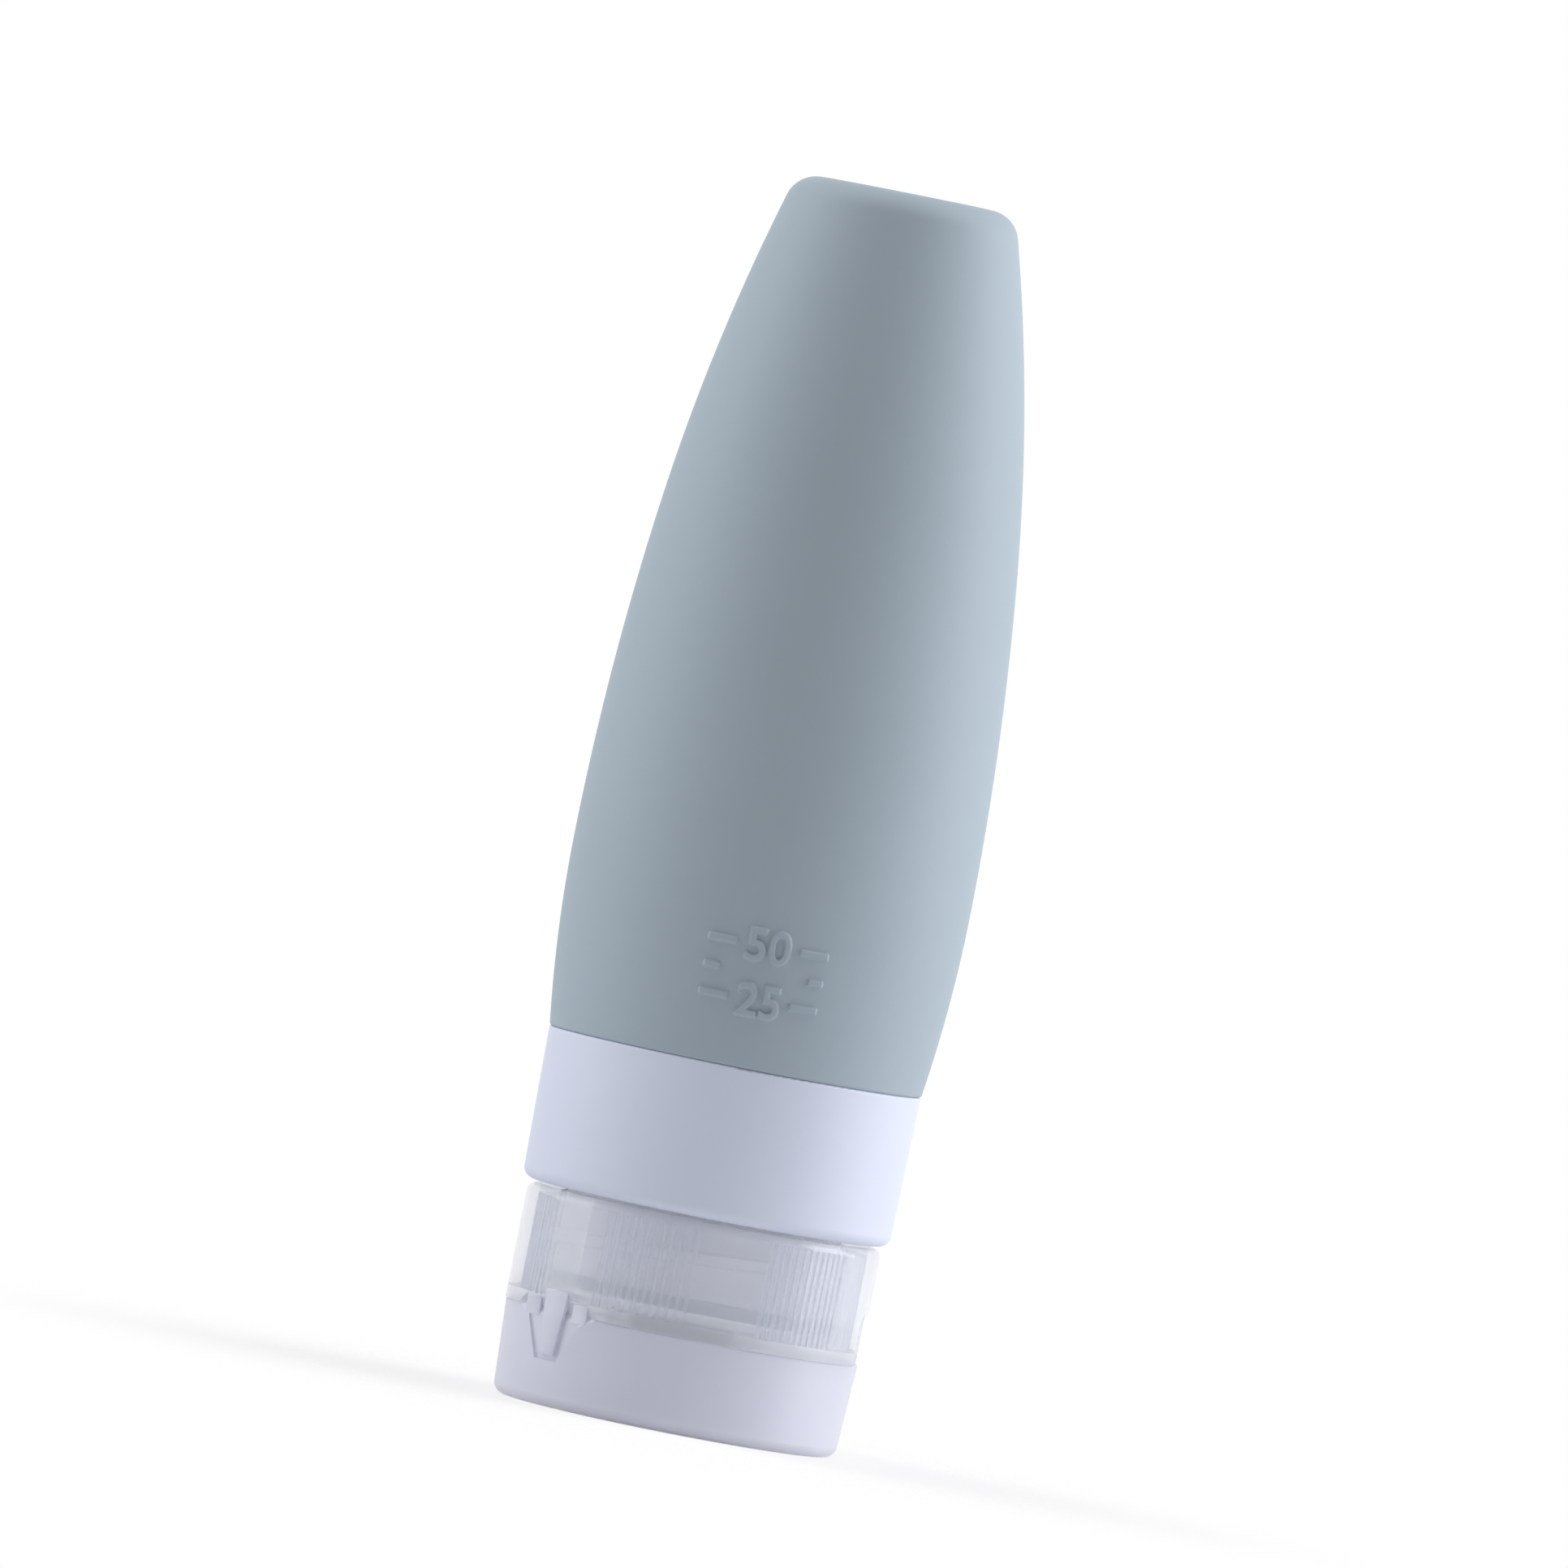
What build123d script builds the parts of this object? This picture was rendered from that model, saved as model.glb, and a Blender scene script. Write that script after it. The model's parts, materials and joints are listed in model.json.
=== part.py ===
from build123d import *
import os
from math import cos, pi, radians, sin, sqrt

# A squeezable silicone travel bottle that stands on its flip-top cap.
# Lengths are in millimetres and angles in degrees. The origin is on the bottle's axis in the lid's
# standing face, +Z runs up the axis to the closed end of the bottle, and -Y is the side of the marks.

# Heights that stack up from the standing face to the closed end
lid_height = 9.2
cap_base_height = 11.36
shadow_gap = 0.28
collar_height = 14.77
body_height = 84.97

# Silicone bottle: the wall is measured square to the axis, and the end along it
belly_swell = 1.23
end_radius = 10.67
body_wall = 2.6
end_wall = 2.8
end_corner_radius = 3.1
shoulder_edge_radius = 0.3
funnel_rise = 4.0
belly_height_share = 0.214
middle_height_share = 0.5
middle_drop_share = 0.224

# Collar: the white sleeve between bottle and cap
collar_proud = 0.64
collar_flare = 0.26
collar_wall = 1.15
collar_floor = 1.2
collar_corner_radius = 1.1
collar_edge_radius = 0.25
spout_hole_clearance = 0.2

# Neck ring: the threaded spout, the flange that snaps into the collar and the barbed sleeve
spout_radius = 13.4
spout_wall = 1.5
flange_thickness = 1.3
flange_bead = 0.25
snap_clearance = 0.1
sleeve_step = 1.25
sleeve_wall = 1.35
sleeve_setback = 2.0
bore_taper_rise = 2.5
barb_count = 3
barb_height = 0.35
barb_start_share = 0.3
barb_ramp_share = 0.62
neck_fit = 0.05
lip_edge_radius = 0.3

# Screw thread, one start, shared by the spout and the cap
thread_lead = 4.0
thread_depth = 0.8
thread_clearance = 0.2
ridge_root_width = 1.7
ridge_crest_width = 0.9
ridge_embed = 0.3
flank_gap = 0.1
thread_lead_in = 0.25

# Cap base: deck, two skirts, seal seat and the boss that holds the valve
inner_skirt_wall = 1.1
inner_skirt_setback = 0.9
skirt_gap = 0.6
skirt_wall = 1.2
skirt_edge_radius = 0.95
skirt_inner_edge_radius = 0.15
deck_thickness = 1.2
seat_height = 1.2
boss_drop = 3.6
boss_wall = 1.2
boss_floor = 1.0
orifice_radius = 4.6
spigot_height = 1.2
spigot_wall = 1.0
spigot_clearance = 0.15

# Fine ribs inside the outer skirt, in groups with plain zones between them
rib_groups = 6
ribs_in_group = 12
rib_pitch_angle = 3.0
rib_height = 0.33
rib_width = 0.4
rib_root = 0.2

# Seal ring between the cap's deck and the end of the spout
seal_thickness = 1.15
seal_overhang = 0.4
seal_inset = 0.6

# Slit valve in the boss, and the ring that holds it there
valve_radius = 7.6
valve_flange_thickness = 1.2
valve_fit = 0.05
dome_radius = 4.2
dome_drop = 0.65
membrane_thickness = 0.6
slit_width = 0.12
slit_length = 5.4
retainer_height = 2.0
retainer_wall = 2.6

# Flip lid: shell, the plug that shuts the orifice and the ring that guides the boss
lid_inset = 0.1
lid_draft = 0.46
lid_wall = 1.2
lid_floor = 1.2
lid_corner_radius = 1.1
lid_edge_radius = 0.12
plug_clearance = 0.25
plug_wall = 0.9
plug_reach = 0.5
ring_clearance = 0.3
ring_wall = 1.0
ring_reach = 1.3

# Hinge: facets that meet in the hinge line, two films, and a snap band in a tapered groove
hinge_azimuth = -137.0
hinge_setback = 0.97
base_facet_rise = 2.95
lid_facet_drop = 2.0
film_thickness = 0.35
film_width = 2.0
film_offset = 2.3
band_thickness = 0.4
band_top_width = 3.4
band_foot_width = 2.0
band_foot_clearance = 0.5
groove_depth = 0.6
groove_drop = 4.8
groove_top_width = 8.0
groove_foot_width = 3.1

# Thumb recess in the cap base, opposite the hinge
recess_depth = 0.55
recess_straight = 2.85
recess_blend_radius = 5.4
recess_half_angle = 62.0

# Cuts run this far past the faces that they open
overrun = 3.0

full_turn = 360.0

# Heights worked out from the stack
part_line = lid_height
deck_top = part_line + deck_thickness
seat_top = deck_top + seat_height
spout_end = seat_top + seal_thickness
cap_edge = part_line + cap_base_height
inner_skirt_top = cap_edge - inner_skirt_setback
collar_low = cap_edge + shadow_gap
shoulder = collar_low + collar_height
bottle_end = shoulder + body_height
belly = shoulder + body_height * belly_height_share
middle = belly + (bottle_end - belly) * middle_height_share
flange_low = collar_low + collar_floor
flange_top = flange_low + flange_thickness
sleeve_top = shoulder - sleeve_setback
funnel_top = sleeve_top + funnel_rise
boss_low = part_line - boss_drop
valve_low = boss_low + boss_floor
valve_top = valve_low + valve_flange_thickness
plug_top = boss_low + plug_reach
ring_top = boss_low + ring_reach

# Radii worked out from the spout outwards
spout_bore = spout_radius - spout_wall
male_crest = spout_radius + thread_depth
thread_bore = male_crest + thread_clearance
female_crest = thread_bore - thread_depth
inner_skirt_radius = thread_bore + inner_skirt_wall
skirt_bore = inner_skirt_radius + skirt_gap
cap_radius = skirt_bore + skirt_wall
collar_radius = cap_radius + collar_proud
shoulder_radius = collar_radius + collar_flare
collar_bore = collar_radius - collar_wall
belly_radius = shoulder_radius + belly_swell
middle_radius = belly_radius - (belly_radius - end_radius) * middle_drop_share
sleeve_radius = spout_radius + sleeve_step
sleeve_bore = sleeve_radius - sleeve_wall
flange_radius = collar_bore - neck_fit
neck_radius = collar_bore - neck_fit
lid_radius = cap_radius - lid_inset
lid_bore = lid_radius - lid_wall
spigot_radius = lid_bore - spigot_clearance
valve_bore = valve_radius + valve_fit
retainer_bore = valve_radius - retainer_wall
boss_radius = valve_bore + boss_wall
plug_radius = orifice_radius - plug_clearance
ring_bore = boss_radius + ring_clearance

# Hinge line and the planes beside it, as distances from the axis on the hinge side
hinge_distance = cap_radius - hinge_setback
lid_facet_depth = lid_radius - hinge_distance
groove_floor = lid_radius - groove_depth
band_face = groove_floor + band_thickness
groove_foot = part_line - groove_drop


def section(corners):
    """A flat face beside the axis from corners that each give a radius, a height and a rounding."""
    points = [(radius, 0, height) for radius, height, rounding in corners]
    roundings = [rounding for radius, height, rounding in corners]
    return make_face(FilletPolyline(*points, radius=roundings, close=True))


def turned(corners):
    """The solid that a section makes in a full turn about the axis."""
    return revolve(section(corners), Axis.Z)


def prism(corners, low, high):
    """A section beside the axis, run straight along Y from low to high."""
    face = Pos(0, low, 0) * section([(radius, height, 0) for radius, height in corners])
    return extrude(face, amount=high - low, dir=(0, 1, 0))


def at_hinge(shape):
    """Turns a shape made on the +X side to the hinge's side."""
    return Rot(0, 0, hinge_azimuth) * shape


def ridge(root_radius, crest_radius, low, turns, azimuth):
    """A helical thread ridge on a wall at root_radius, with its middle at height low where it starts."""
    inside = ridge_embed if crest_radius < root_radius else -ridge_embed
    half_root = ridge_root_width / 2
    half_crest = ridge_crest_width / 2
    corners = [
        (root_radius + inside, -half_root, 0),
        (crest_radius, -half_crest, 0),
        (crest_radius, half_crest, 0),
        (root_radius + inside, half_root, 0),
    ]
    path = Helix(pitch=thread_lead, height=turns * thread_lead, radius=root_radius)
    swept = sweep(section(corners), path=path, is_frenet=True)
    return Rot(0, 0, azimuth) * Pos(0, 0, low) * swept


def side_arcs(inset):
    """The silicone's side as three arcs that meet smoothly, moved in by inset."""
    at_foot = (shoulder_radius - inset, 0, shoulder)
    at_belly = (belly_radius - inset, 0, belly)
    at_middle = (middle_radius - inset, 0, middle)
    at_end = (end_radius - inset, 0, bottle_end)
    swell = TangentArc(at_belly, at_foot, tangent=(0, 0, -1))
    rise = TangentArc(at_belly, at_middle, tangent=(0, 0, 1))
    taper = TangentArc(at_middle, at_end, tangent=rise % 1)
    return [swell, rise, taper]


def pot(low, high, inset, corner_radius):
    """A solid inside the silicone's side from low to high, flat at both ends and rounded at the top."""
    arcs = side_arcs(inset)
    ends = Polyline(arcs[-1] @ 1, (0, 0, bottle_end), (0, 0, shoulder), arcs[0] @ 1)
    reach = belly_radius + overrun
    window = section([(0, low, 0), (reach, low, 0), (reach, high, 0), (0, high, 0)])
    solid = revolve(make_face(arcs + [ends]) & window, Axis.Z)
    top_edge = solid.edges().filter_by(GeomType.CIRCLE).sort_by(Axis.Z)[-1]
    return fillet(top_edge, corner_radius)


def foot_edge(solid):
    """The lowest circular edge of a turned solid."""
    return solid.edges().filter_by(GeomType.CIRCLE).sort_by(Axis.Z)[0]


def cavity():
    """The bottle's hollow above the funnel."""
    return pot(funnel_top, bottle_end - end_wall, body_wall, end_corner_radius / 2)


def barbed_side(radius):
    """Corners up the outside of the barbed sleeve, for the sleeve itself and for the bore over it."""
    pitch = (sleeve_top - flange_top) / barb_count
    corners = [(radius, flange_top, 0)]
    for barb in range(barb_count):
        step = flange_top + pitch * (barb + barb_start_share)
        corners += [(radius, step, 0), (radius + barb_height, step, 0)]
        corners.append((radius, step + pitch * barb_ramp_share, 0))
    corners.append((radius, sleeve_top, 0))
    return corners


def silicone_body():
    """Soft bottle: a swelling tube with a closed, flat end and a neck that the collar clamps."""
    outside = pot(shoulder, bottle_end, 0, end_corner_radius)
    outside = fillet(foot_edge(outside), shoulder_edge_radius)
    neck = turned(
        [
            (0, flange_top, 0),
            (neck_radius, flange_top, 0),
            (neck_radius, shoulder + overrun, 0),
            (0, shoulder + overrun, 0),
        ]
    )
    hollow = cavity()
    throat = turned(
        [(0, flange_top, 0)]
        + barbed_side(sleeve_radius + neck_fit)
        + [(foot_edge(hollow).radius, funnel_top, 0), (0, funnel_top, 0)]
    )
    return outside + neck - (hollow + throat)


def collar():
    """Rigid sleeve with a floor that the spout passes through and a groove for the flange's bead."""
    bead_middle = (flange_low + flange_top) / 2
    groove_half = flange_bead + snap_clearance
    groove_radius = flange_radius + flange_bead + snap_clearance
    return turned(
        [
            (male_crest + spout_hole_clearance, collar_low, 0),
            (collar_radius, collar_low, collar_corner_radius),
            (shoulder_radius, shoulder, collar_edge_radius),
            (collar_bore, shoulder, 0),
            (collar_bore, bead_middle + groove_half, 0),
            (groove_radius, bead_middle, 0),
            (collar_bore, bead_middle - groove_half, 0),
            (collar_bore, flange_low, 0),
            (male_crest + spout_hole_clearance, flange_low, 0),
        ]
    )


def neck_ring():
    """Threaded spout, flange with a snap bead, and the barbed sleeve that grips the silicone neck."""
    bead_middle = (flange_low + flange_top) / 2
    blank = turned(
        [
            (spout_bore, spout_end, lip_edge_radius),
            (spout_radius, spout_end, lip_edge_radius),
            (spout_radius, flange_low, 0),
            (flange_radius, flange_low, 0),
            (flange_radius, bead_middle - flange_bead, 0),
            (flange_radius + flange_bead, bead_middle, 0),
            (flange_radius, bead_middle + flange_bead, 0),
            (flange_radius, flange_top, 0),
        ]
        + barbed_side(sleeve_radius)
        + [
            (sleeve_bore, sleeve_top, lip_edge_radius),
            (sleeve_bore, flange_top + bore_taper_rise, 0),
            (spout_bore, flange_top, 0),
        ]
    )
    start = spout_end + thread_lead_in + ridge_root_width / 2
    room = collar_low - thread_lead_in - ridge_root_width / 2 - start
    return blank + ridge(spout_radius, male_crest, start, room / thread_lead, 0)


def cap_seal():
    """Flat ring that the end of the spout presses on its seat."""
    inner = spout_bore - seal_inset
    outer = spout_radius + seal_overhang
    return turned(
        [(inner, seat_top, 0), (outer, seat_top, 0), (outer, spout_end, 0), (inner, spout_end, 0)]
    )


def skirt_ribs():
    """Fine upright ribs on the inner face of the outer skirt, in even groups."""
    rib = Pos(skirt_bore - rib_height, 0, deck_top - rib_root) * Box(
        rib_height + rib_root,
        rib_width,
        inner_skirt_top - deck_top + rib_root,
        align=(Align.MIN, Align.CENTER, Align.MIN),
    )
    group_angle = full_turn / rib_groups
    first = hinge_azimuth + (group_angle - (ribs_in_group - 1) * rib_pitch_angle) / 2
    return [
        Rot(0, 0, first + group * group_angle + place * rib_pitch_angle) * rib
        for group in range(rib_groups)
        for place in range(ribs_in_group)
    ]


def base_facet():
    """Cutter for the slanting crescent facet above the hinge line."""
    reach = hinge_setback + overrun
    rise = base_facet_rise * reach / hinge_setback
    corners = [
        (hinge_distance, part_line),
        (hinge_distance + reach, part_line),
        (hinge_distance + reach, part_line + rise),
    ]
    return at_hinge(prism(corners, -cap_radius, cap_radius))


def lid_facet():
    """Cutter for the lid's facet below the hinge line."""
    reach = lid_facet_depth + overrun
    drop = lid_facet_drop * reach / lid_facet_depth
    corners = [
        (hinge_distance, part_line),
        (hinge_distance + reach, part_line),
        (hinge_distance + reach, part_line - drop),
    ]
    return at_hinge(prism(corners, -cap_radius, cap_radius))


def tapered_plate(near, far, top, foot, top_width, foot_width):
    """An upright plate across the hinge side, from near to far, narrower at its foot."""
    face = make_face(
        Polyline(
            (near, -top_width / 2, top),
            (near, top_width / 2, top),
            (near, foot_width / 2, foot),
            (near, -foot_width / 2, foot),
            close=True,
        )
    )
    return at_hinge(extrude(face, amount=far - near, dir=(1, 0, 0)))


def thumb_recess():
    """Cutter for the recess under the lid's edge, with a floor that follows the skirt."""
    floor = cap_radius - recess_depth
    top = part_line + recess_straight + recess_blend_radius
    outer = floor + recess_blend_radius + overrun
    low = part_line - overrun
    face = section([(floor, low, 0), (outer, low, 0), (outer, top, 0), (floor, top, 0)])
    sector = revolve(Rot(0, 0, -recess_half_angle) * face, Axis.Z, 2 * recess_half_angle)
    uprights = [
        edge
        for edge in sector.edges().filter_by(Axis.Z)
        if sqrt(edge.center().X ** 2 + edge.center().Y ** 2) < (floor + outer) / 2
    ]
    arcs = sector.edges().filter_by(GeomType.CIRCLE).sort_by(Axis.Z)[-2:]
    top_arc = arcs.sort_by(lambda edge: edge.radius)[0]
    cutter = fillet(uprights + [top_arc], recess_blend_radius)
    return Rot(0, 0, hinge_azimuth + full_turn / 2) * cutter


def cap_base():
    """Cap base: deck with two skirts above it, and the valve boss and lid spigot below it."""
    seat_bore = spout_bore - seal_inset
    blank = turned(
        [
            (orifice_radius, boss_low, 0),
            (boss_radius, boss_low, 0),
            (boss_radius, part_line, 0),
            (spigot_radius - spigot_wall, part_line, 0),
            (spigot_radius - spigot_wall, part_line - spigot_height, 0),
            (spigot_radius, part_line - spigot_height, 0),
            (spigot_radius, part_line, 0),
            (cap_radius, part_line, 0),
            (cap_radius, cap_edge, skirt_edge_radius),
            (skirt_bore, cap_edge, skirt_inner_edge_radius),
            (skirt_bore, deck_top, 0),
            (inner_skirt_radius, deck_top, 0),
            (inner_skirt_radius, inner_skirt_top, 0),
            (thread_bore, inner_skirt_top, 0),
            (thread_bore, seat_top, 0),
            (seat_bore, seat_top, 0),
            (seat_bore, deck_top, 0),
            (valve_bore, deck_top, 0),
            (valve_bore, valve_low, 0),
            (orifice_radius, valve_low, 0),
        ]
    )
    start = spout_end + thread_lead_in + ridge_root_width / 2
    room = inner_skirt_top - thread_lead_in - ridge_root_width / 2 - start
    offset = (ridge_root_width + ridge_crest_width) / 2 + flank_gap
    azimuth = full_turn * (1 - offset / thread_lead)
    female = ridge(thread_bore, female_crest, start, room / thread_lead, azimuth)
    return blank + skirt_ribs() + female - base_facet() - thumb_recess()


def flip_lid():
    """Lid shell with the plug and the guide ring, a facet at the hinge and the snap band's groove."""
    ring_radius = ring_bore + ring_wall
    blank = turned(
        [
            (0, 0, 0),
            (lid_radius - lid_draft, 0, lid_corner_radius),
            (lid_radius, part_line, lid_edge_radius),
            (lid_bore, part_line, 0),
            (lid_bore - lid_draft, lid_floor, 0),
            (ring_radius, lid_floor, 0),
            (ring_radius, ring_top, 0),
            (ring_bore, ring_top, 0),
            (ring_bore, lid_floor, 0),
            (plug_radius, lid_floor, 0),
            (plug_radius, plug_top, 0),
            (plug_radius - plug_wall, plug_top, 0),
            (plug_radius - plug_wall, lid_floor, 0),
            (0, lid_floor, 0),
        ]
    )
    groove = tapered_plate(
        groove_floor,
        lid_radius + overrun,
        part_line,
        groove_foot,
        groove_top_width,
        groove_foot_width,
    )
    return blank - lid_facet() - groove


def slit_valve():
    """Soft disc valve: a flange held in the boss and a thin dome with two crossed slits."""
    inner_radius = dome_radius - membrane_thickness
    inner_low = valve_low - dome_drop + membrane_thickness
    outside = ThreePointArc(
        (dome_radius, 0, valve_low),
        (dome_radius * cos(pi / 4), 0, valve_low - dome_drop * (1 - cos(pi / 4) ** 2)),
        (0, 0, valve_low - dome_drop),
    )
    inside = ThreePointArc(
        (0, 0, inner_low),
        (inner_radius * cos(pi / 4), 0, inner_low + dome_drop * cos(pi / 4) ** 2),
        (inner_radius, 0, inner_low + dome_drop),
    )
    rest = Polyline(
        (inner_radius, 0, inner_low + dome_drop),
        (inner_radius, 0, valve_top),
        (valve_radius, 0, valve_top),
        (valve_radius, 0, valve_low),
        (dome_radius, 0, valve_low),
    )
    axis_line = Line((0, 0, valve_low - dome_drop), (0, 0, inner_low))
    disc = revolve(make_face([outside, axis_line, inside, rest]), Axis.Z)
    slit = Pos(0, 0, valve_low) * Box(slit_length, slit_width, 2 * overrun)
    return disc - slit - Rot(0, 0, full_turn / 4) * slit


def valve_retainer():
    """Ring pressed into the boss above the valve's flange."""
    low = valve_top
    high = valve_top + retainer_height
    return turned(
        [
            (retainer_bore, low, 0),
            (valve_radius, low, 0),
            (valve_radius, high, lip_edge_radius),
            (retainer_bore, high, lip_edge_radius),
        ]
    )


def film_hinge(side):
    """Thin web in the corner between the two facets, on one side of the snap band."""
    rise = film_thickness * base_facet_rise / hinge_setback
    drop = film_thickness * lid_facet_drop / lid_facet_depth
    corners = [
        (hinge_distance, part_line),
        (hinge_distance + film_thickness, part_line - drop),
        (hinge_distance + film_thickness, part_line + rise),
    ]
    near = film_offset if side > 0 else -film_offset - film_width
    return at_hinge(prism(corners, near, near + film_width))


def snap_band():
    """Springy strip that spans the hinge line from the base's facet to the floor of the groove."""
    slope = base_facet_rise / hinge_setback
    foot = groove_foot + band_foot_clearance
    corners = [
        (groove_floor, foot),
        (groove_floor, part_line + (groove_floor - hinge_distance) * slope),
        (band_face, part_line + (band_face - hinge_distance) * slope),
        (band_face, foot),
    ]
    strip = at_hinge(prism(corners, -band_top_width / 2, band_top_width / 2))
    top = part_line + base_facet_rise
    taper = tapered_plate(
        hinge_distance, cap_radius, top, foot, band_top_width, band_foot_width
    )
    return strip & taper


def capacity_ml():
    """What the bottle holds when filled to the spout's end, in millilitres."""
    sleeve = pi * sleeve_bore**2 * (funnel_top - flange_top)
    spout = pi * spout_bore**2 * (flange_top - spout_end)
    cubic_mm_in_ml = 1000
    return (cavity().volume + sleeve + spout) / cubic_mm_in_ml


def hinge_point():
    """Where the hinge line passes the middle of the hinge, for the joint."""
    azimuth = radians(hinge_azimuth)
    return hinge_distance * cos(azimuth), hinge_distance * sin(azimuth), part_line


nodes = {
    "silicone_body": silicone_body(),
    "collar": collar(),
    "neck_ring": neck_ring(),
    "cap_seal": cap_seal(),
    "cap_base": cap_base(),
    "slit_valve": slit_valve(),
    "valve_retainer": valve_retainer(),
    "flip_lid": flip_lid(),
    "film_hinge_left": film_hinge(-1),
    "film_hinge_right": film_hinge(1),
    "snap_band": snap_band(),
}

os.makedirs("parts", exist_ok=True)
for name, shape in nodes.items():
    export_step(shape, f"parts/{name}.step")

print("capacity in ml", round(capacity_ml(), 1))
print("hinge line at", [round(place, 3) for place in hinge_point()])
print("closed end at", round(bottle_end, 3))
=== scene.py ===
import bmesh
import bpy
import json
from math import atan2, cos, hypot, pi, radians, sin, sqrt
from mathutils import Matrix, Vector
from mathutils.bvhtree import BVHTree


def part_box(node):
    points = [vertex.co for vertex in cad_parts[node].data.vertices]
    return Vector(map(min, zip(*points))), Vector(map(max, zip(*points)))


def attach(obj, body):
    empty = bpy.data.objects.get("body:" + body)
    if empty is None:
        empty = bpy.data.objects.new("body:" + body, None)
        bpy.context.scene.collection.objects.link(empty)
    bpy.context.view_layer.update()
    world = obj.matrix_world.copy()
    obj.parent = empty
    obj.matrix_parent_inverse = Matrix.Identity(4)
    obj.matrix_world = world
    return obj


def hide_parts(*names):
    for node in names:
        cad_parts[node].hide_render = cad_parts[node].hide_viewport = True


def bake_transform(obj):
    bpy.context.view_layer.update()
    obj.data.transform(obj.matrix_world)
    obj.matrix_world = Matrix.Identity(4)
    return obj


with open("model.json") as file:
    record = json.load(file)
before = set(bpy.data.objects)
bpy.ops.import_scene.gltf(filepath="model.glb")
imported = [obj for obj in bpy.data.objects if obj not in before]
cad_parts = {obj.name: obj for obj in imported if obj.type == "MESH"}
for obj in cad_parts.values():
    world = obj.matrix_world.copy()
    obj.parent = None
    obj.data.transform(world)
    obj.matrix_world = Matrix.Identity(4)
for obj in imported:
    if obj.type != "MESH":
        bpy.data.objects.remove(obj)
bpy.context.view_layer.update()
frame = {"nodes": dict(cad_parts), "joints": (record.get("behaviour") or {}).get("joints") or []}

# A squeezable silicone travel bottle that stands on its flip-top cap. Lengths are in metres. The axis
# of the bottle is Z, its lid stands on z = 0, and the raised marks and the camera are on the -Y side.

# Heights and radii that the frame's pieces give
body_low, body_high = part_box("silicone_body")
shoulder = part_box("collar")[1].z
shoulder_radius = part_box("collar")[1].x
sleeve_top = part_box("neck_ring")[1].z
part_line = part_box("flip_lid")[1].z
lid_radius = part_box("flip_lid")[1].x
belly_radius = body_high.x
bottle_end = body_high.z
neck_foot = body_low.z
hinge = next(joint["pos_m"] for joint in frame["joints"] if joint["name"] == "lid_hinge")
hinge_azimuth = atan2(hinge[1], hinge[0])
hinge_distance = hypot(hinge[0], hinge[1])

# Silicone bottle
end_radius = 0.01067
body_wall = 0.0026
end_wall = 0.0028
end_corner_radius = 0.0031
hollow_corner_radius = end_corner_radius / 2
shoulder_edge_radius = 0.0003
neck_radius = 0.01674
neck_bore = 0.0147
funnel_rise = 0.004
belly_height_share = 0.214
middle_height_share = 0.5
middle_drop_share = 0.224
barb_count = 3
barb_height = 0.00035
barb_start_share = 0.3
barb_ramp_share = 0.62

# How finely the bottle is divided: round the axis, along each arc of its outline, and across its closed end
turn_steps = 160
shoulder_edge_steps = 6
swell_steps = 24
side_steps = 48
end_corner_steps = 12
end_rings = 4
hollow_corner_steps = 6
hollow_side_steps = 16
hollow_swell_steps = 8

# Raised marks on the belly: two rows of plain numbers with strokes beside them
mark_rows = {"50": 0.0475, "25": 0.0422}
mark_middle = 0.0010
digit_height = 0.0031
digit_boldness = 0.004
long_stroke = 0.0026
short_stroke = 0.0013
stroke_width = 0.00042
stroke_reach = 0.0057
mark_height = 0.00034
mark_edge = 0.00020
mark_margin = 0.0011
mark_cuts = 8

# Moulded hinge: two films and the snap band between the lid and the cap
base_facet_rise = 0.00295
base_facet_depth = 0.00097
lid_facet_drop = 0.0020
film_thickness = 0.00035
film_width = 0.0020
film_offset = 0.0023
groove_depth = 0.0006
groove_drop = 0.0048
band_thickness = 0.0004
band_top_width = 0.0034
band_foot_width = 0.0020
band_foot_clearance = 0.0005
hinge_bevel = 0.00005
hinge_bevel_steps = 2
bend_cuts = 8

# Edges that turn by more than the crease angle stay sharp, and points nearer than the weld become one
crease_angle = radians(35)
weld = 0.000001

# Camera: a long lens in front of the bottle, rolled so that the bottle leans to the right
view_width = 0.1507
view_reach = 12.0
camera_distance = 2.0
sensor_width = 36.0
camera_elevation = radians(1.0)
camera_roll = radians(11.2)
aim = Vector((-0.00059, 0.0, 0.06265))

# Lamps: azimuth from the camera's side towards +X, distance, middle height, width, height, tilt and power
lamps = {
    "right_softbox": (radians(98), 0.65, 0.31, 0.50, 0.60, 0, 4.1),
    "left_softbox": (radians(-97), 0.65, 0.31, 0.36, 0.60, 0, 2.05),
    "right_top_softbox": (radians(90), 0.30, 0.65, 0.40, 0.40, radians(60), 1.35),
    "left_top_softbox": (radians(-90), 0.30, 0.65, 0.40, 0.40, radians(60), 1.3),
}
fill_strength = 0.35

# Floor: it shows the object's shadow near the bottle and lets the white surroundings through further away
floor_radius = 3.0
floor_segments = 96
floor_colour = (0.86, 0.86, 0.87, 1)
shadow_radius = 0.03
plain_radius = 0.08
shadow_share = 0.30

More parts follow.
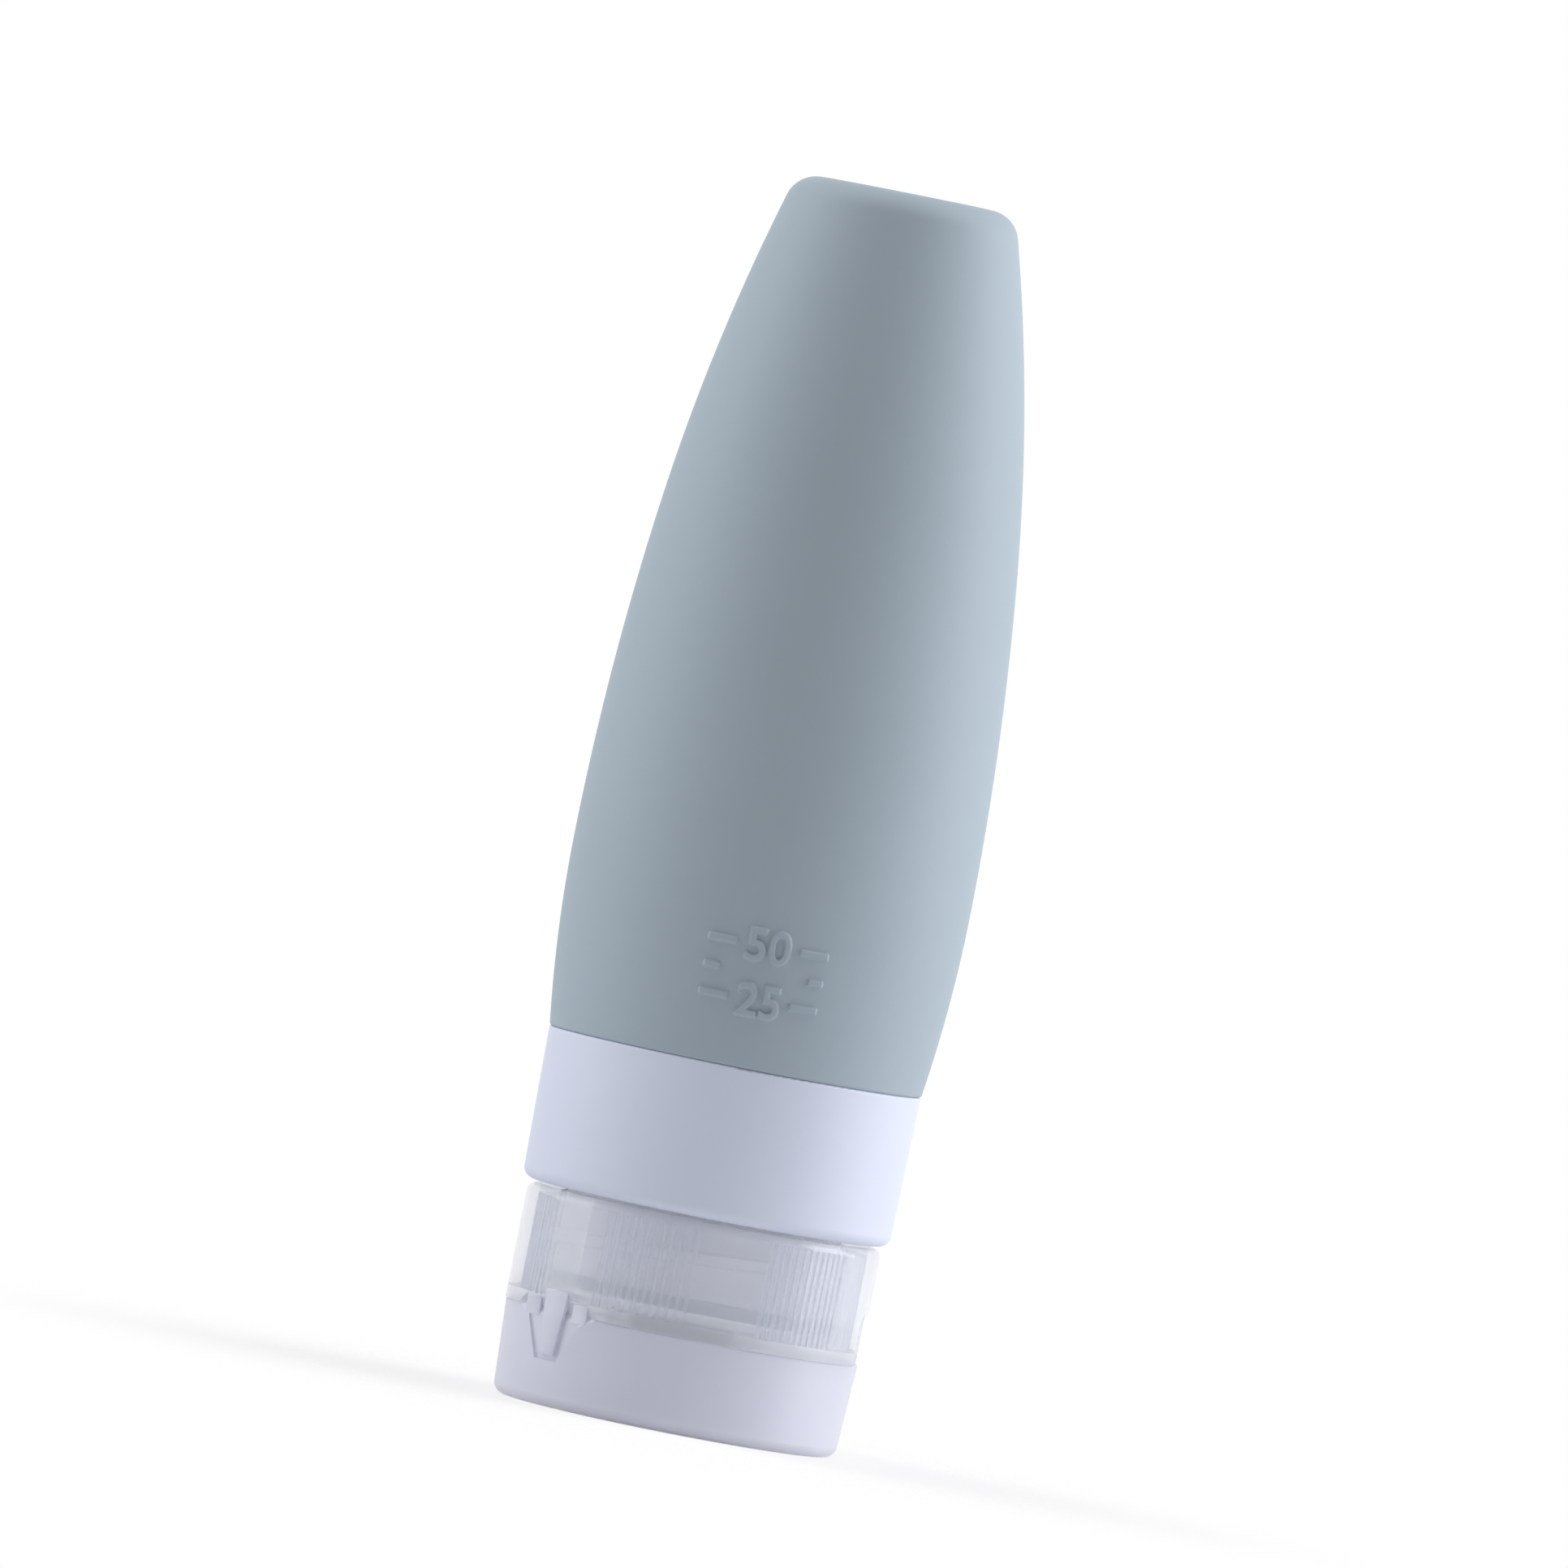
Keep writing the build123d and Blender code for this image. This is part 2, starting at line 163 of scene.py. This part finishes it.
# Colours, as linear red, green and blue
white = (1, 1, 1, 1)
silicone_low_tone = (0.310, 0.375, 0.432, 1)
silicone_high_tone = (0.325, 0.391, 0.450, 1)
collar_low_tone = (0.585, 0.625, 0.755, 1)
collar_high_tone = (0.605, 0.645, 0.775, 1)
cap_low_tone = (0.87, 0.895, 1.0, 1)
cap_high_tone = (0.89, 0.915, 1.0, 1)
lid_low_tone = (0.81, 0.825, 0.945, 1)
lid_high_tone = (0.83, 0.845, 0.965, 1)
spout_tone = (0.94, 0.945, 0.98, 1)
seal_tone = (0.34, 0.42, 0.47, 1)
valve_tone = (0.62, 0.72, 0.73, 1)

# Noise that mottles the colour: features in a metre for each material, and their detail
silicone_mottle = 90
moulded_mottle = 60
milky_mottle = 120
mottle_detail = 2.0

# Grain from the mould: features in a metre, detail, roughness, what the grain adds to it, and its depth
silicone_grain = (4200, 3.0, 0.56, 0.10, 0.000008)
collar_grain = (2600, 2.0, 0.52, 0.08, 0.000004)
spout_grain = (2000, 2.0, 0.38, 0.08, 0.000003)
cap_grain = (900, 2.0, 0.12, 0.06, 0.000006)
lid_grain = (900, 2.0, 0.35, 0.06, 0.000006)
seal_grain = (2500, 2.0, 0.60, 0.10, 0.000010)
valve_grain = (2500, 2.0, 0.45, 0.10, 0.000010)

# How strongly silicone or rubber and plastic bend light
silicone_ior = 1.42
plastic_ior = 1.49

# Milky plastic: how much of the light that enters it passes through, and how much of the light that meets
# each part is turned aside at all, while the rest goes straight on. The ribs and the thread show through the
# skirt only while skirt_presence * (1 - cap_clearness) is under 0.25.
cap_clearness = 0.44
lid_clearness = 0.30
skirt_presence = 0.42
rib_presence = 0.80
bore_presence = 0.10
deck_presence = 0.75
lid_presence = 0.80

# Where those parts of the cap are: three distances from the axis, and the height of the deck's upper face
bore_reach = 0.0147
rib_foot = 0.01556
skirt_bore = 0.0160
deck_top = 0.01045


class Level:
    """A socket's value in a node tree. Sums and comparisons on it add Math nodes."""

    def __init__(self, tree, socket):
        self.tree = tree
        self.socket = socket

    def math(self, operation, first, second):
        sockets = {"Value": first, "Value_001": second}
        return self.tree.add("ShaderNodeMath", {"operation": operation}, sockets)

    def __add__(self, other):
        return self.math("ADD", self, other)

    def __sub__(self, other):
        return self.math("SUBTRACT", self, other)

    def __rsub__(self, other):
        return self.math("SUBTRACT", other, self)

    def __mul__(self, other):
        return self.math("MULTIPLY", self, other)

    __radd__ = __add__
    __rmul__ = __mul__

    def __lt__(self, other):
        return self.math("LESS_THAN", self, other)

    def __gt__(self, other):
        return self.math("GREATER_THAN", self, other)

    def larger(self, other):
        return self.math("MAXIMUM", self, other)

    def where(self, chosen, value):
        """This level with a value in its place where chosen is 1."""
        return self + chosen * (value - self)


class Tree:
    """The nodes of a material or of the world."""

    def __init__(self, owner):
        owner.use_nodes = True
        self.owner = owner
        self.nodes = owner.node_tree.nodes
        self.links = owner.node_tree.links

    def add(self, kind, settings=None, sockets=None, output=None):
        """Adds a node, sets it up, feeds its sockets and gives back the named output, or the first."""
        node = self.nodes.new(kind)
        for name, value in (settings or {}).items():
            setattr(node, name, value)
        for name, value in (sockets or {}).items():
            self.feed(node, name, value)
        found = [socket for socket in node.outputs if output in (None, socket.identifier)]
        return Level(self, found[0])

    def feed(self, node, name, value):
        """Sets a socket to a plain value, or links a level to it."""
        socket = next(socket for socket in node.inputs if socket.identifier == name)
        if isinstance(value, Level):
            self.links.new(value.socket, socket)
        else:
            socket.default_value = value

    def place(self):
        """Where a point is on the piece at rest, in the frame that all pieces share."""
        return self.add("ShaderNodeTexCoord", output="Object")

    def height(self):
        """How high a point is above the standing face."""
        return self.add("ShaderNodeSeparateXYZ", sockets={"Vector": self.place()}, output="Z")

    def axis_distance(self):
        """How far a point is from the bottle's axis."""
        settings = {"operation": "MULTIPLY"}
        flat = self.add("ShaderNodeVectorMath", settings, {"Vector": self.place(), "Vector_001": (1, 1, 0)})
        return self.add("ShaderNodeVectorMath", {"operation": "LENGTH"}, {"Vector": flat}, "Value")

    def cloud(self, scale, detail):
        """Soft noise between 0 and 1 with features of about 1 / scale."""
        sockets = {"Vector": self.place(), "Scale": scale, "Detail": detail}
        return self.add("ShaderNodeTexNoise", sockets=sockets, output="Fac")

    def tint(self, factor, low, high):
        """A colour between two tones."""
        sockets = {"Factor_Float": factor, "A_Color": low, "B_Color": high}
        return self.add("ShaderNodeMix", {"data_type": "RGBA"}, sockets, "Result_Color")

    def bump(self, height, distance):
        """A normal from a height between 0 and 1 that stands for a real depth."""
        return self.add("ShaderNodeBump", sockets={"Height": height, "Distance": distance})


class Finish(Tree):
    """A procedural material on one Principled shader."""

    def __init__(self, name, **constants):
        super().__init__(bpy.data.materials.new(name))
        self.shader = self.nodes["Principled BSDF"]
        for socket, value in constants.items():
            self.set(socket.replace("_", " "), value)

    def set(self, name, value):
        self.feed(self.shader, name, value)

    def mottle(self, scale, low, high):
        """Lets the colour drift softly between two tones."""
        self.set("Base Color", self.tint(self.cloud(scale, mottle_detail), low, high))

    def grain(self, scale, detail, smooth, spread, depth):
        """Gives the surface a grain, which shows in its roughness and as a fine relief."""
        grain = self.cloud(scale, detail)
        self.set("Roughness", smooth + spread * grain)
        self.set("Normal", self.bump(grain, depth))


def silicone_finish():
    """Matte silicone: a soft mottle in the colour and a fine grain from the mould."""
    finish = Finish("matte_silicone", IOR=silicone_ior)
    finish.mottle(silicone_mottle, silicone_low_tone, silicone_high_tone)
    finish.grain(*silicone_grain)
    return finish.owner


def moulded_finish(name, low, high, grain):
    """Opaque moulded plastic: a slight flow mottle and a satin grain."""
    finish = Finish(name, IOR=plastic_ior)
    finish.mottle(moulded_mottle, low, high)
    finish.grain(*grain)
    return finish.owner


def milky_finish(name, low, high, clear, grain):
    """Translucent polypropylene: milky, with light passing through a frosted surface."""
    finish = Finish(name, IOR=plastic_ior, Transmission_Weight=clear)
    finish.mottle(milky_mottle, low, high)
    finish.grain(*grain)
    return finish


def cap_finish():
    """The cap's plastic: clearest at the thread, and most present on the ribs and in the deck."""
    finish = milky_finish("frosted_cap", cap_low_tone, cap_high_tone, cap_clearness, cap_grain)
    distance = finish.axis_distance()
    presence = skirt_presence + (distance < bore_reach) * (bore_presence - skirt_presence)
    presence = presence.where((distance > rib_foot) * (distance < skirt_bore), rib_presence)
    presence = presence.where(finish.height() < deck_top, deck_presence)
    finish.set("Alpha", presence)
    return finish.owner


def lid_finish():
    """The lid's plastic, milkier than the cap's."""
    finish = milky_finish("frosted_lid", lid_low_tone, lid_high_tone, lid_clearness, lid_grain)
    finish.set("Alpha", lid_presence)
    return finish.owner


def rubber_finish(name, tone, grain):
    """Soft rubber or clear silicone with a dull surface."""
    finish = Finish(name, IOR=silicone_ior)
    finish.set("Base Color", tone)
    finish.grain(*grain)
    return finish.owner


class Bow:
    """An arc of the bottle's side: it starts at a point with a given normal and ends at another point."""

    def __init__(self, start, normal, end):
        chord = end - start
        self.radius = -chord.length_squared / (2 * chord.dot(normal))
        self.centre = start - normal * self.radius

    def normal_at(self, point):
        return (point - self.centre).normalized()

    def reach(self, height):
        """The arc's distance from the axis at a height."""
        return self.centre.x + sqrt(self.radius ** 2 - (height - self.centre.y) ** 2)

    def corner(self, top, radius):
        """The centre of a rounding between the arc and a flat top, and where it leaves the arc."""
        height = top - radius
        inner = self.radius - radius
        centre = Vector((self.centre.x + sqrt(inner ** 2 - (height - self.centre.y) ** 2), height))
        return centre, centre + self.normal_at(centre) * radius


def side_bows(inset):
    """The side moved in by inset: arcs below the belly, above it and at the taper, and where they meet."""
    belly_height = shoulder + (bottle_end - shoulder) * belly_height_share
    middle_height = belly_height + (bottle_end - belly_height) * middle_height_share
    middle_radius = belly_radius - (belly_radius - end_radius) * middle_drop_share
    foot = Vector((shoulder_radius - inset, shoulder))
    belly = Vector((belly_radius - inset, belly_height))
    middle = Vector((middle_radius - inset, middle_height))
    end = Vector((end_radius - inset, bottle_end))
    outwards = Vector((1, 0))
    swell = Bow(belly, outwards, foot)
    rise = Bow(belly, outwards, middle)
    taper = Bow(middle, rise.normal_at(middle), end)
    return swell, rise, taper, belly, middle


def side_reach(height):
    """How far the bottle's side is from the axis at a height."""
    swell, rise, taper, belly, middle = side_bows(0)
    if height < belly.y:
        return swell.reach(height)
    return rise.reach(height) if height < middle.y else taper.reach(height)


class Outline:
    """A line beside the axis, drawn corner by corner and arc by arc, and then turned into a solid."""

    def __init__(self, radius, height):
        self.mesh = bmesh.new()
        self.first = self.mesh.verts.new((radius, 0, height))
        self.tip = self.first

    def line(self, radius, height):
        corner = self.mesh.verts.new((radius, 0, height))
        self.mesh.edges.new((self.tip, corner))
        self.tip = corner

    def arc(self, end, centre, steps):
        """Swings the tip about a centre until it reaches the direction of end."""
        start_angle = atan2(self.tip.co.z - centre.y, self.tip.co.x - centre.x)
        end_angle = atan2(end.y - centre.y, end.x - centre.x)
        swept = bmesh.ops.spin(
            self.mesh,
            geom=[self.tip],
            cent=(centre.x, 0, centre.y),
            axis=(0, 1, 0),
            angle=start_angle - end_angle,
            steps=steps,
        )
        self.tip = next(part for part in swept["geom_last"] if isinstance(part, bmesh.types.BMVert))

    def turned(self, steps):
        """Closes the line and turns it once round the axis."""
        self.mesh.edges.new((self.tip, self.first))
        bmesh.ops.spin(
            self.mesh,
            geom=self.mesh.verts[:] + self.mesh.edges[:],
            cent=(0, 0, 0),
            axis=(0, 0, 1),
            angle=2 * pi,
            steps=steps,
            use_merge=True,
        )
        bmesh.ops.remove_doubles(self.mesh, verts=self.mesh.verts, dist=weld)
        bmesh.ops.recalc_face_normals(self.mesh, faces=self.mesh.faces)
        return self.mesh


def finished(name, mesh, body, material):
    """Makes a piece from a bmesh, smooth but for the edges that turn by more than the crease angle."""
    for face in mesh.faces:
        face.smooth = True
    for edge in mesh.edges:
        if edge.is_manifold and edge.calc_face_angle() > crease_angle:
            edge.smooth = False
    data = bpy.data.meshes.new(name)
    mesh.to_mesh(data)
    mesh.free()
    data.materials.append(material)
    piece = bpy.data.objects.new(name, data)
    bpy.context.scene.collection.objects.link(piece)
    if body:
        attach(piece, body)
    return piece


def flat_numbers(mesh, text, height):
    """Adds a row's number to the flat marks, as tall as the digits and centred on the marks' middle."""
    curve = bpy.data.curves.new("numbers", "FONT")
    curve.body = text
    curve.offset = digit_boldness
    holder = bpy.data.objects.new("numbers", curve)
    bpy.context.scene.collection.objects.link(holder)
    bpy.context.view_layer.update()
    shape = bpy.data.meshes.new_from_object(holder.evaluated_get(bpy.context.evaluated_depsgraph_get()))
    bpy.data.objects.remove(holder)
    across = [vertex.co.x for vertex in shape.vertices]
    up = [vertex.co.y for vertex in shape.vertices]
    centre = Vector(((max(across) + min(across)) / 2, (max(up) + min(up)) / 2, 0))
    size = Matrix.Scale(digit_height / (max(up) - min(up)), 4)
    place = Matrix.Translation((mark_middle, height, 0))
    shape.transform(place @ size @ Matrix.Translation(-centre))
    mesh.from_mesh(shape)
    bpy.data.meshes.remove(shape)


def flat_strokes(mesh, height, length):
    """Adds a level stroke at each end of a row of the flat marks, from a square with sides of 1."""
    size = Matrix.Diagonal((length, stroke_width, 1, 1))
    for side in (-1, 1):
        across = mark_middle + side * (stroke_reach - length / 2)
        place = Matrix.Translation((across, height, 0))
        bmesh.ops.create_grid(mesh, x_segments=1, y_segments=1, size=0.5, matrix=place @ size)


def flat_marks():
    """The marks laid out flat, as a tree that finds how far a point is from the nearest of them."""
    mesh = bmesh.new()
    for text, height in mark_rows.items():
        flat_numbers(mesh, text, height)
        flat_strokes(mesh, height, long_stroke)
    flat_strokes(mesh, sum(mark_rows.values()) / len(mark_rows), short_stroke)
    bmesh.ops.triangulate(mesh, faces=mesh.faces)
    return BVHTree.FromBMesh(mesh)


def soft_step(share):
    """A smooth rise from 0 to 1 while the share goes from 0 to 1."""
    return share * share * (3 - 2 * share)


def raise_marks(mesh):
    """Divides the bottle's front finely round the marks and raises them there with soft edges."""
    low = min(mark_rows.values()) - digit_height / 2
    high = max(mark_rows.values()) + digit_height / 2

    def near_marks(point, margin):
        """Whether a point is on the outside of the bottle's front and within a margin round the marks."""
        beside = abs(point.x - mark_middle) < stroke_reach + margin
        level = low - margin < point.z < high + margin
        if not (beside and level and point.y < 0):
            return False
        return hypot(point.x, point.y) > side_reach(point.z) - body_wall / 2

    patch = [face for face in mesh.faces if near_marks(face.calc_center_median(), mark_margin)]
    edges = list(dict.fromkeys(edge for face in patch for edge in face.edges))
    bmesh.ops.subdivide_edges(mesh, edges=edges, cuts=mark_cuts, use_grid_fill=True)
    marks = flat_marks()
    middle_radius = side_reach((low + high) / 2)
    for vertex in mesh.verts:
        point = vertex.co
        if not near_marks(point, 2 * mark_margin):
            continue
        azimuth = atan2(point.x, -point.y)
        distance = marks.find_nearest((azimuth * middle_radius, point.z, 0))[3]
        fall = soft_step(min(distance / mark_edge, 1))
        radius = side_reach(point.z) + mark_height * (1 - fall)
        vertex.co = (radius * sin(azimuth), -radius * cos(azimuth), point.z)


def draw_outside(outline):
    """Draws the bottle's outside from the shoulder up to the middle of the closed end."""
    swell, rise, taper, belly, middle = side_bows(0)
    edge_height = shoulder + shoulder_edge_radius
    edge_centre = Vector((swell.reach(edge_height) - shoulder_edge_radius, edge_height))
    edge_end = Vector((edge_centre.x + shoulder_edge_radius, edge_height))
    outline.line(edge_centre.x, shoulder)
    outline.arc(edge_end, edge_centre, shoulder_edge_steps)
    outline.arc(belly, swell.centre, swell_steps)
    outline.arc(middle, rise.centre, side_steps)
    centre, leave = taper.corner(bottle_end, end_corner_radius)
    outline.arc(leave, taper.centre, side_steps)
    outline.arc(Vector((centre.x, bottle_end)), centre, end_corner_steps)
    for ring in reversed(range(end_rings)):
        outline.line(centre.x * ring / end_rings, bottle_end)


def draw_hollow(outline):
    """Draws the hollow from the middle of its ceiling down to the barbs and the foot of the neck."""
    swell, rise, taper, belly, middle = side_bows(body_wall)
    ceiling = bottle_end - end_wall
    centre, leave = taper.corner(ceiling, hollow_corner_radius)
    outline.line(0, ceiling)
    outline.line(centre.x, ceiling)
    outline.arc(leave, centre, hollow_corner_steps)
    outline.arc(middle, taper.centre, hollow_side_steps)
    outline.arc(belly, rise.centre, hollow_side_steps)
    funnel_top = sleeve_top + funnel_rise
    outline.arc(Vector((swell.reach(funnel_top), funnel_top)), swell.centre, hollow_swell_steps)
    outline.line(neck_bore, sleeve_top)
    pitch = (sleeve_top - neck_foot) / barb_count
    for barb in reversed(range(barb_count)):
        step = neck_foot + pitch * (barb + barb_start_share)
        outline.line(neck_bore, step + pitch * barb_ramp_share)
        outline.line(neck_bore + barb_height, step)
        outline.line(neck_bore, step)
    outline.line(neck_bore, neck_foot)
    outline.line(neck_radius, neck_foot)


def soft_bottle():
    """The silicone bottle: swelling side, flat closed end, hollow, and the neck that the collar clamps."""
    outline = Outline(neck_radius, shoulder)
    draw_outside(outline)
    draw_hollow(outline)
    mesh = outline.turned(turn_steps)
    raise_marks(mesh)
    piece = finished("soft_bottle", mesh, "bottle", silicone_finish())
    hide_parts("silicone_body")


def hinge_web(corners, near, far):
    """A web at the hinge: its section beside the axis, run across the hinge's side and cut for bending."""
    mesh = bmesh.new()
    face = mesh.faces.new([mesh.verts.new((radius, near, height)) for radius, height in corners])
    grown = bmesh.ops.extrude_face_region(mesh, geom=[face])
    moved = [part for part in grown["geom"] if isinstance(part, bmesh.types.BMVert)]
    bmesh.ops.translate(mesh, verts=moved, vec=(0, far - near, 0))
    bmesh.ops.recalc_face_normals(mesh, faces=mesh.faces)
    bmesh.ops.bevel(
        mesh,
        geom=mesh.edges[:],
        offset=hinge_bevel,
        affect="EDGES",
        segments=hinge_bevel_steps,
        profile=0.5,
        material=-1,
    )
    heights = [vertex.co.z for vertex in mesh.verts]
    for cut in range(1, bend_cuts):
        height = min(heights) + (max(heights) - min(heights)) * cut / bend_cuts
        everything = mesh.verts[:] + mesh.edges[:] + mesh.faces[:]
        bmesh.ops.bisect_plane(mesh, geom=everything, dist=weld, plane_co=(0, 0, height), plane_no=(0, 0, 1))
    return mesh


def bend_with_lid(name, mesh, node, material):
    """Turns a web to the hinge's side, makes it a piece and hides the frame's piece that it takes the place
    of.
    """
    bmesh.ops.rotate(mesh, verts=mesh.verts, cent=(0, 0, 0), matrix=Matrix.Rotation(hinge_azimuth, 3, "Z"))
    piece = finished(name, mesh, None, material)
    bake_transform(piece)
    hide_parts(node)


def hinge_films(material):
    """The two films in the corner between the cap's facet and the lid's."""
    rise = film_thickness * base_facet_rise / base_facet_depth
    drop = film_thickness * lid_facet_drop / (lid_radius - hinge_distance)
    outer = hinge_distance + film_thickness
    corners = [(hinge_distance, part_line), (outer, part_line - drop), (outer, part_line + rise)]
    for side, near in (("left", -film_offset - film_width), ("right", film_offset)):
        mesh = hinge_web(corners, near, near + film_width)
        bend_with_lid("hinge_film_" + side, mesh, "film_hinge_" + side, material)


def snap_band(material):
    """The band between the films, from the cap's facet into the lid's groove and narrower at its foot."""
    slope = base_facet_rise / base_facet_depth
    back = lid_radius - groove_depth
    face = back + band_thickness
    foot = part_line - groove_drop + band_foot_clearance
    top = part_line + base_facet_rise
    corners = [
        (back, foot),
        (back, part_line + (back - hinge_distance) * slope),
        (face, part_line + (face - hinge_distance) * slope),
        (face, foot),
    ]
    mesh = hinge_web(corners, -band_top_width / 2, band_top_width / 2)
    for vertex in mesh.verts:
        share = (vertex.co.z - foot) / (top - foot)
        vertex.co.y *= (band_foot_width + (band_top_width - band_foot_width) * share) / band_top_width
    bend_with_lid("hinge_snap_band", mesh, "snap_band", material)


def dress(node, material):
    """Gives a frame piece its finish."""
    for slot in frame["nodes"][node].material_slots:
        slot.material = material


def dress_frame(cap, lid):
    """Finishes for the frame's own pieces."""
    dress("collar", moulded_finish("satin_collar", collar_low_tone, collar_high_tone, collar_grain))
    dress("neck_ring", moulded_finish("white_spout", spout_tone, spout_tone, spout_grain))
    dress("cap_seal", rubber_finish("grey_rubber", seal_tone, seal_grain))
    dress("slit_valve", rubber_finish("clear_silicone", valve_tone, valve_grain))
    dress("cap_base", cap)
    dress("valve_retainer", cap)
    dress("flip_lid", lid)


def seen_directly(tree):
    """1 for the rays that see a surface itself: from the camera, a reflection or through the cap."""
    camera = tree.add("ShaderNodeLightPath", output="Is Camera Ray")
    glossy = tree.add("ShaderNodeLightPath", output="Is Glossy Ray")
    through = tree.add("ShaderNodeLightPath", output="Is Transmission Ray")
    return camera.larger(glossy).larger(through)


def floor():
    """A pale floor that keeps the shadow near the bottle and thins out to the white surroundings.

    It hides nothing from below, and the lid is still seen and lit where it swings under the floor.
    """
    mesh = bmesh.new()
    bmesh.ops.create_circle(mesh, cap_ends=True, segments=floor_segments, radius=floor_radius)
    data = bpy.data.meshes.new("floor")
    mesh.to_mesh(data)
    mesh.free()
    ground = bpy.data.objects.new("floor", data)
    bpy.context.scene.collection.objects.link(ground)

    tree = Tree(bpy.data.materials.new("floor"))
    tree.nodes.clear()
    distance = tree.add("ShaderNodeVectorMath", {"operation": "LENGTH"}, {"Vector": tree.place()}, "Value")
    sockets = {
        "Value": distance,
        "From Min": shadow_radius,
        "From Max": plain_radius,
        "To Min": 1 - shadow_share,
        "To Max": 1.0,
    }
    plain = tree.add("ShaderNodeMapRange", {"interpolation_type": "SMOOTHSTEP"}, sockets)
    diffuse = tree.add("ShaderNodeBsdfDiffuse", sockets={"Color": floor_colour})
    below = tree.add("ShaderNodeNewGeometry", output="Backfacing")
    clear = tree.add("ShaderNodeBsdfTransparent", sockets={"Color": white})
    shadow = tree.add("ShaderNodeLightPath", output="Is Shadow Ray")
    share = (seen_directly(tree) * plain.larger(below)).larger(shadow)
    mixed = tree.add("ShaderNodeMixShader", sockets={"Fac": share, "Shader": diffuse, "Shader_001": clear})
    tree.feed(tree.nodes.new("ShaderNodeOutputMaterial"), "Surface", mixed)
    data.materials.append(tree.owner)


def studio():
    """White surroundings with a plain fill, and at each side a tall softbox with a smaller one above."""
    world = bpy.data.worlds.new("studio")
    bpy.context.scene.world = world
    tree = Tree(world)
    strength = fill_strength + (1 - fill_strength) * seen_directly(tree)
    tree.feed(tree.nodes["Background"], "Color", white)
    tree.feed(tree.nodes["Background"], "Strength", strength)

    for name, (azimuth, distance, middle, width, height, tilt, power) in lamps.items():
        light = bpy.data.lights.new(name, "AREA")
        light.shape = "RECTANGLE"
        light.size = width
        light.size_y = height
        light.energy = power
        lamp = bpy.data.objects.new(name, light)
        bpy.context.scene.collection.objects.link(lamp)
        lamp.location = (distance * sin(azimuth), -distance * cos(azimuth), middle)
        lamp.rotation_euler = (pi / 2 - tilt, 0, azimuth)
        lamp.visible_camera = False


def camera():
    """The camera, in front of the marks and rolled about its line of sight."""
    data = bpy.data.cameras.new("camera")
    data.sensor_width = sensor_width
    data.lens = sensor_width * camera_distance / view_width
    data.clip_end = view_reach
    holder = bpy.data.objects.new("camera", data)
    bpy.context.scene.collection.objects.link(holder)
    out = Vector((0, -cos(camera_elevation), sin(camera_elevation)))
    turn = Matrix.Rotation(pi / 2 - camera_elevation, 4, "X") @ Matrix.Rotation(camera_roll, 4, "Z")
    holder.matrix_world = Matrix.Translation(aim + out * camera_distance) @ turn
    bpy.context.scene.camera = holder


camera()
studio()
floor()
cap_material = cap_finish()
lid_material = lid_finish()
dress_frame(cap_material, lid_material)
soft_bottle()
hinge_films(lid_material)
snap_band(lid_material)
bpy.context.scene.view_settings.view_transform = "Standard"
